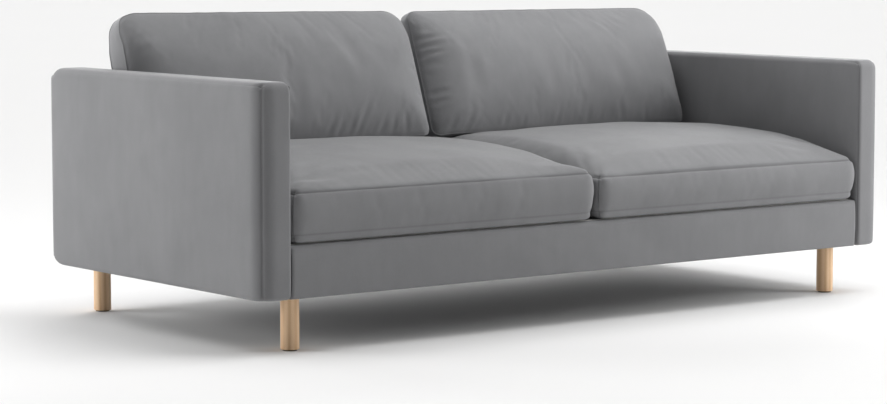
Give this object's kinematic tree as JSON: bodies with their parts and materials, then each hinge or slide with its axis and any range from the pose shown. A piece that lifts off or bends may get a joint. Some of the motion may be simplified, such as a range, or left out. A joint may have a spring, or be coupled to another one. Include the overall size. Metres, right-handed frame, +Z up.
{
  "type": "sofa",
  "caption": "Low sofa with slim upholstered arms, loose box seat cushions, leaning loose back cushions and short round wooden legs.",
  "frame": {"origin": "on the floor, under the middle of the sofa's width and depth", "axes": "+X to the right as seen from in front, -Y towards the front of the seat, +Z up"},
  "size_m": [2.08, 1.01, 0.7978],
  "materials": {
    "upholstery": "matte",
    "leg_wood": "satin",
    "frame_timber": "matte",
    "board": "matte",
    "foam": "matte",
    "fibre": "matte",
    "lining": "matte",
    "dust_cloth": "matte",
    "zip": "matte",
    "glide": "matte",
    "bright_steel": "satin",
    "spring_steel": "satin"
  },
  "bodies": {
    "frame": {"front_rail": "frame_timber", "rear_rail": "frame_timber", "left_side_rail": "frame_timber", "right_side_rail": "frame_timber", "centre_rail": "frame_timber", "leg_blocks": "frame_timber", "seat_springs": "spring_steel", "spring_clips": "bright_steel", "deck_pad": "fibre", "deck_cloth": "lining", "dust_cover": "dust_cloth", "front_padding": "foam", "front_cover": "upholstery", "left_arm_front_post": "frame_timber", "left_arm_rear_post": "frame_timber", "left_arm_rails": "frame_timber", "left_arm_inner_board": "board", "left_arm_outer_board": "board", "left_arm_padding": "foam", "left_arm_cover": "upholstery", "right_arm_front_post": "frame_timber", "right_arm_rear_post": "frame_timber", "right_arm_rails": "frame_timber", "right_arm_inner_board": "board", "right_arm_outer_board": "board", "right_arm_padding": "foam", "right_arm_cover": "upholstery", "back_rails": "frame_timber", "back_posts": "frame_timber", "back_webbing": "lining", "back_padding": "foam", "back_cover": "upholstery", "back_panel": "upholstery", "front_left_leg": "leg_wood", "front_right_leg": "leg_wood", "rear_left_leg": "leg_wood", "rear_right_leg": "leg_wood", "leg_bolts": "bright_steel", "tee_nuts": "bright_steel", "floor_glides": "glide", "arm_bolts": "bright_steel", "arm_nuts": "bright_steel"},
    "left_seat_cushion": {"left_seat_foam": "foam", "left_seat_cover": "upholstery", "left_seat_zip": "zip"},
    "left_seat_cushion_zip_slider": {"left_seat_zip_slider": "bright_steel"},
    "right_seat_cushion": {"right_seat_foam": "foam", "right_seat_cover": "upholstery", "right_seat_zip": "zip"},
    "right_seat_cushion_zip_slider": {"right_seat_zip_slider": "bright_steel"},
    "left_back_cushion": {"left_back_filling": "fibre", "left_back_cushion_cover": "upholstery", "left_back_zip": "zip"},
    "left_back_cushion_zip_slider": {"left_back_zip_slider": "bright_steel"},
    "right_back_cushion": {"right_back_filling": "fibre", "right_back_cushion_cover": "upholstery", "right_back_zip": "zip"},
    "right_back_cushion_zip_slider": {"right_back_zip_slider": "bright_steel"}
  },
  "joints": [
    {"name": "left_seat_pull", "type": "slide", "parent": "frame", "child": "left_seat_cushion", "axis": [0, -1, 0], "range_m": [0, 0.88]},
    {"name": "right_seat_pull", "type": "slide", "parent": "frame", "child": "right_seat_cushion", "axis": [0, -1, 0], "range_m": [0, 0.88]},
    {"name": "left_back_lift", "type": "slide", "parent": "frame", "child": "left_back_cushion", "axis": [0, 0, 1], "range_m": [0, 0.3]},
    {"name": "right_back_lift", "type": "slide", "parent": "frame", "child": "right_back_cushion", "axis": [0, 0, 1], "range_m": [0, 0.3]},
    {"name": "left_seat_zip_pull", "type": "slide", "parent": "left_seat_cushion", "child": "left_seat_cushion_zip_slider", "axis": [-1, 0, 0], "range_m": [0, 0.618]},
    {"name": "left_back_zip_pull", "type": "slide", "parent": "left_back_cushion", "child": "left_back_cushion_zip_slider", "axis": [-1, 0, 0], "range_m": [0, 0.618]},
    {"name": "right_seat_zip_pull", "type": "slide", "parent": "right_seat_cushion", "child": "right_seat_cushion_zip_slider", "axis": [1, 0, 0], "range_m": [0, 0.618]},
    {"name": "right_back_zip_pull", "type": "slide", "parent": "right_back_cushion", "child": "right_back_cushion_zip_slider", "axis": [1, 0, 0], "range_m": [0, 0.618]}
  ]
}
